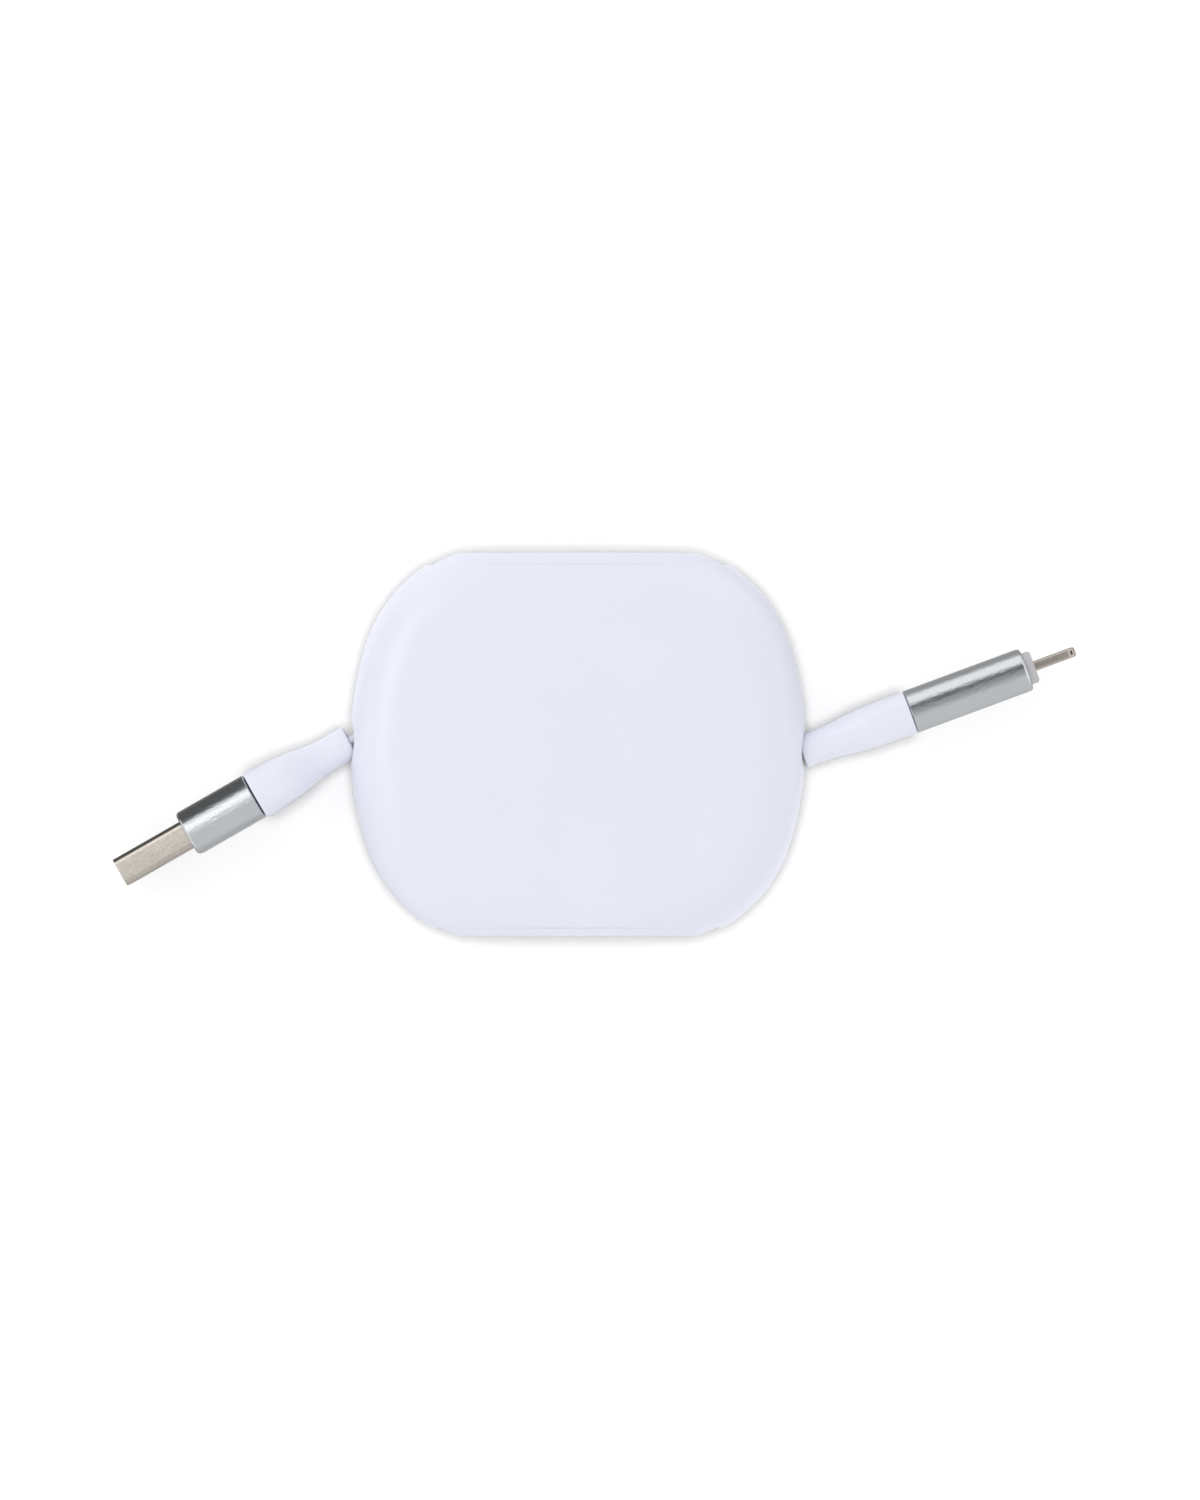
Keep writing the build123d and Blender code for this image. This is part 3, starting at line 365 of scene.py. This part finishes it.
class CABLE_OT_stage(bpy.types.Operator):
    """Pale floor, even sky, lamps, a reflector over each plug and the camera straight above"""

    bl_idname = "cable.stage"
    bl_label = "Studio"

    def execute(self, context):
        studio = context.scene.cable_studio
        context.scene.view_settings.view_transform = "Standard"
        floor = self.floor()
        self.sky(studio.sky)
        self.lamp("softbox", studio.key, SOFTBOX_PLACE, SOFTBOX_SIZE)
        self.lamp("fill", studio.fill, FILL_PLACE, FILL_SIZE)
        self.top_light(studio.top, studio.top_angle, floor)
        for plug in LEADS:
            self.reflector(plug, studio.tunnel, studio.tunnel_length)
        self.camera(studio.distance, studio.width, Vector(studio.middle))
        return {"FINISHED"}

    def floor(self):
        """Square of matt paper, which the lamps bring up to white."""
        finish = Finish("pale_floor")
        finish.set(Base_Color=PAPER_GREY, Roughness=PAPER_ROUGHNESS)
        corners = [(x * FLOOR_HALF, y * FLOOR_HALF, 0.0) for x, y in ((-1, -1), (1, -1), (1, 1), (-1, 1))]
        mesh = bpy.data.meshes.new("floor")
        mesh.from_pydata(corners, [], [(0, 1, 2, 3)])
        floor = new_piece("floor", mesh, finish.material, smooth=False)
        return floor

    def sky(self, strength):
        """Even white light all round."""
        world = bpy.data.worlds.new("even_sky")
        world.use_nodes = True
        back = world.node_tree.nodes["Background"]
        back.inputs["Color"].default_value = (1.0, 1.0, 1.0, 1.0)
        back.inputs["Strength"].default_value = strength
        bpy.context.scene.world = world

    def lamp(self, name, power, place, size):
        """Square area lamp that faces the object."""
        data = bpy.data.lights.new(name, "AREA")
        data.energy = power
        data.size = size
        lamp = bpy.data.objects.new(name, data)
        lamp.location = place
        lamp.rotation_euler = (-Vector(place)).to_track_quat("-Z", "Y").to_euler()
        bpy.context.scene.collection.objects.link(lamp)

    def top_light(self, strength, angle, floor):
        """Distant disc straight above, which lights the floor alone and is shaded by the moulded pieces."""
        data = bpy.data.lights.new("top_light", "SUN")
        data.energy = strength
        data.angle = angle
        disc = bpy.data.objects.new("top_light", data)
        bpy.context.scene.collection.objects.link(disc)
        shading = [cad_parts[name] for name in SHADING_PIECES]
        disc.light_linking.receiver_collection = self.group("lit_floor", floor)
        disc.light_linking.blocker_collection = self.group("shading_pieces", *shading)

    def group(self, name, *pieces):
        """Collection for a lamp's links."""
        group = bpy.data.collections.new(name)
        for piece in pieces:
            group.objects.link(piece)
        return group

    def reflector(self, plug, radius, length):
        """Graded tunnel over a plug that only reflections see.

        A circle about the plug's axis is carried along it and pressed flat where it meets the ground, and its
        brightness follows from the angle across the plug.
        """
        outward = plug_axis(plug)
        along = outward * math.copysign(1.0, outward[0])
        aside = np.array([-along[1], along[0], 0.0])
        turn = np.linspace(-np.pi, np.pi, REFLECTOR_STEPS)
        height = np.maximum(MIDDLE * MM + radius * np.cos(turn), REFLECTOR_LIFT)
        offset = radius * np.sin(turn)
        ring = offset[:, None] * aside + height[:, None] * np.array([0.0, 0.0, 1.0])
        middle = np.array([*LEADS[plug]["exit"], 0.0]) * MM + outward * (REFLECTOR_START + length / 2)
        reach = np.array([-length / 2, length / 2])[:, None, None] * along
        points = middle + ring[None] + reach
        bearing = np.degrees(np.arctan2(offset, height - BEARING_HEIGHT))
        mesh = grid_mesh(f"{plug}_reflector", points / MM)
        levels = np.ones((2, REFLECTOR_STEPS, 4), dtype=np.float32)
        levels[..., :3] = panel_light(PANELS[plug], bearing)[None, :, None]
        mesh.color_attributes.new("level", "FLOAT_COLOR", "POINT").data.foreach_set("color", levels.ravel())
        tunnel = new_piece(f"{plug}_reflector", mesh, self.reflector_finish(plug))
        tunnel.visible_camera = False
        tunnel.visible_diffuse = False
        tunnel.visible_transmission = False
        tunnel.visible_shadow = False
        return tunnel

    def reflector_finish(self, plug):
        """Glow inside the tunnel, and nothing at all seen from outside it."""
        finish = Finish(f"{plug}_reflector_glow")
        level = finish.node("ShaderNodeAttribute", {"attribute_name": "level"}).outputs["Color"]
        glow = finish.node("ShaderNodeEmission", Color=Value(finish.tree, level), Strength=1.0)
        clear = finish.node("ShaderNodeBsdfTransparent")
        outside = finish.node("ShaderNodeNewGeometry").outputs["Backfacing"]
        mix = finish.node(
            "ShaderNodeMixShader", _0=Value(finish.tree, outside), _1=Value(finish.tree, glow.outputs[0]),
            _2=Value(finish.tree, clear.outputs[0]))
        surface = finish.tree.nodes["Material Output"].inputs["Surface"]
        finish.feed(surface, Value(finish.tree, mix.outputs[0]))
        return finish.material

    def camera(self, distance, width, middle):
        """Camera straight above a point, whose picture has a width there."""
        data = bpy.data.cameras.new("camera")
        data.sensor_fit = "HORIZONTAL"
        data.sensor_width = SENSOR_WIDTH
        data.lens = SENSOR_WIDTH * distance / width
        camera = bpy.data.objects.new("camera", data)
        camera.location = middle + Vector((0.0, 0.0, distance))
        bpy.context.scene.collection.objects.link(camera)
        bpy.context.scene.camera = camera


class CABLE_OT_covers(bpy.types.Operator):
    """Moulded plastic on both covers of the reel case"""

    bl_idname = "cable.covers"
    bl_label = "Covers"

    def execute(self, context):
        colour = context.scene.cable_finishes.plastic
        dress(moulded_plastic("cover_plastic", colour, roughness=0.36), "front_cover", "rear_cover")
        return {"FINISHED"}


class CABLE_OT_boots(bpy.types.Operator):
    """Moulded plastic on the strain reliefs of both plugs"""

    bl_idname = "cable.boots"
    bl_label = "Boots"

    def execute(self, context):
        # Covers' plastic made paler for the boots: painted light in place of the light they lose near the
        # floor
        colour = [channel * BOOT_PAINTED_LIGHT for channel in context.scene.cable_finishes.plastic]
        plastic = moulded_plastic("boot_plastic_painted_lighter", colour, roughness=0.4, cells=6000.0)
        dress(plastic, "charger_boot", "phone_boot")
        return {"FINISHED"}


class CABLE_OT_sleeves(bpy.types.Operator):
    """Satin aluminium on the sleeves of both plugs"""

    bl_idname = "cable.sleeves"
    bl_label = "Sleeves"

    def execute(self, context):
        colour = context.scene.cable_finishes.aluminium
        for plug in LEADS:
            aluminium = satin_metal(f"{plug}_aluminium", colour, plug_turn(plug), roughness=0.16)
            dress(aluminium, f"{plug}_sleeve")
        return {"FINISHED"}


class CABLE_OT_charger_nose(bpy.types.Operator):
    """Plated steel nose of the charger plug with its tongue, core and contacts"""

    bl_idname = "cable.charger_nose"
    bl_label = "Charger plug nose"

    def execute(self, context):
        finishes = context.scene.cable_finishes
        turn = plug_turn("charger")
        dress(plated_steel("nose_nickel", finishes.nickel, turn, roughness=0.2), "charger_shell")
        dress(moulded_plastic("tongue_white", TONGUE_WHITE, roughness=0.35), "charger_tongue")
        # Near-black core: its own dark moulding, and painted shade in the gap between boot and sleeve
        dress(moulded_plastic("core_dark_and_gap_shade", CORE_DARK_AND_GAP_SHADE, roughness=0.5), "charger_core")
        dress(satin_metal("contact_gold", finishes.gold, turn, roughness=0.22), "charger_contacts")
        return {"FINISHED"}


class CABLE_OT_phone_tip(bpy.types.Operator):
    """Plated tab of the phone plug with its collar, insert, contacts and board"""

    bl_idname = "cable.phone_tip"
    bl_label = "Phone plug tip"

    def execute(self, context):
        finishes = context.scene.cable_finishes
        turn = plug_turn("phone")
        dress(plated_steel("tab_nickel_finish", finishes.nickel, turn, roughness=0.34), "phone_tab")
        dress(moulded_plastic("collar_grey", finishes.collar, roughness=0.5), "phone_core")
        dress(moulded_plastic("insert_grey", INSERT_GREY, roughness=0.45), "phone_insert")
        dress(satin_metal("pad_gold", finishes.gold, turn, roughness=0.22), "phone_contacts")
        dress(moulded_plastic("board_green", BOARD_GREEN, roughness=0.4), "phone_board")
        return {"FINISHED"}


class CABLE_OT_works(bpy.types.Operator):
    """Finishes of the reel, its spring, its pawl and the wound cable"""

    bl_idname = "cable.works"
    bl_label = "Reel works"

    def execute(self, context):
        jacket = context.scene.cable_finishes.jacket
        dress(moulded_plastic("reel_white", REEL_WHITE, roughness=0.45), "reel", "reel_cap")
        dress(moulded_plastic("pawl_ivory", PAWL_IVORY, roughness=0.3), "ratchet_pawl")
        dress(satin_metal("spring_strip", SPRING_STEEL, 0.0, roughness=0.3), "power_spring")
        dress(moulded_plastic("wound_jacket", jacket, roughness=0.42), "wound_cable")
        return {"FINISHED"}


class CABLE_OT_leads(bpy.types.Operator):
    """Flat cable from the winding through each mouth into its boot, drawn out straight with its plug"""

    bl_idname = "cable.leads"
    bl_label = "Flat leads"

    def execute(self, context):
        colour = context.scene.cable_finishes.jacket
        jacket = moulded_plastic("lead_jacket", colour, roughness=0.42, cells=4200.0)
        for plug in LEADS:
            mesh = self.flat_cable(f"{plug}_flat_lead", self.route(plug))
            piece = new_piece(f"{plug}_flat_lead", mesh, jacket)
            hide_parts(f"{plug}_lead")
            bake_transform(piece)
            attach(piece, "case")
        return {"FINISHED"}

    def route(self, plug):
        """Centre line: straight from the winding, round an arc tangent to both runs, and straight out.

        A point of the arc is its start plus R sin(t) ahead and R (1 - cos(t)) aside, where R is the bend's
        radius and t goes from 0 to the turn.
        """
        outward = plug_axis(plug)
        end = np.array([*LEADS[plug]["exit"], MIDDLE])
        corner = end - outward * (abs(end[0]) - LEAD_BEND_X) / abs(outward[0])
        leave = np.array([*LEADS[plug]["leave"], MIDDLE])
        inward = (corner - leave) / np.linalg.norm(corner - leave)
        turn = math.acos(float(inward @ outward))
        aside = (outward - inward * math.cos(turn)) / math.sin(turn)
        first = corner - inward * LEAD_BEND_RADIUS * math.tan(turn / 2)
        step = np.linspace(0.0, turn, BEND_STEPS)[:, None]
        bend = first + LEAD_BEND_RADIUS * (np.sin(step) * inward + (1 - np.cos(step)) * aside)
        start = leave + inward * LEAD_CLEAR
        run_in = start + np.linspace(0.0, 1.0, RUN_IN_STEPS, endpoint=False)[:, None] * (first - start)
        out = end + outward * LEAD_IN_BOOT - bend[-1]
        run_out = bend[-1] + np.linspace(0.0, 1.0, RUN_OUT_STEPS + 1)[1:, None] * out
        return np.concatenate([run_in, bend, run_out])

    def flat_cable(self, name, path):
        """Stadium section carried along a level path with its width upright, and closed at both ends.

        The section is a circle as wide as the cable is thick, whose upper and lower halves are moved apart.
        """
        ahead = np.gradient(path, axis=0)
        ahead /= np.linalg.norm(ahead, axis=1, keepdims=True)
        aside = np.stack([-ahead[:, 1], ahead[:, 0], np.zeros(len(path))], axis=1)
        turn = np.linspace(0.0, 2 * np.pi, SECTION_STEPS, endpoint=False) + np.pi / SECTION_STEPS
        across = LEAD_THICKNESS / 2 * np.cos(turn)
        apart = (LEAD_WIDTH - LEAD_THICKNESS) / 2 * np.sign(np.sin(turn))
        upright = LEAD_THICKNESS / 2 * np.sin(turn) + apart
        points = path[:, None, :] + across[None, :, None] * aside[:, None, :]
        points = points + upright[None, :, None] * np.array([0.0, 0.0, 1.0])
        return grid_mesh(name, points, tube=True)


class CABLE_PT_panel(bpy.types.Panel):
    """Sidebar list of the cable's pieces and settings"""

    bl_idname = "CABLE_PT_panel"
    bl_label = "Charging cable"
    bl_space_type = "VIEW_3D"
    bl_region_type = "UI"
    bl_category = "Cable"

    def draw(self, context):
        for operator in OPERATORS:
            self.layout.operator(operator.bl_idname)
        for group in (context.scene.cable_studio, context.scene.cable_finishes):
            for key in group.__annotations__:
                self.layout.prop(group, key)


OPERATORS = (
    CABLE_OT_stage,
    CABLE_OT_covers,
    CABLE_OT_boots,
    CABLE_OT_sleeves,
    CABLE_OT_charger_nose,
    CABLE_OT_phone_tip,
    CABLE_OT_leads,
    CABLE_OT_works,
)
CLASSES = (Studio, Finishes, *OPERATORS, CABLE_PT_panel)


def register():
    """Adds the classes and the settings they read."""
    for item in CLASSES:
        bpy.utils.register_class(item)
    bpy.types.Scene.cable_studio = bpy.props.PointerProperty(type=Studio)
    bpy.types.Scene.cable_finishes = bpy.props.PointerProperty(type=Finishes)


def unregister():
    """Takes them away again."""
    del bpy.types.Scene.cable_finishes
    del bpy.types.Scene.cable_studio
    for item in reversed(CLASSES):
        bpy.utils.unregister_class(item)


def main():
    """Builds the whole scene."""
    register()
    for operator in OPERATORS:
        family, name = operator.bl_idname.split(".")
        getattr(getattr(bpy.ops, family), name)()


if __name__ == "__main__":
    main()
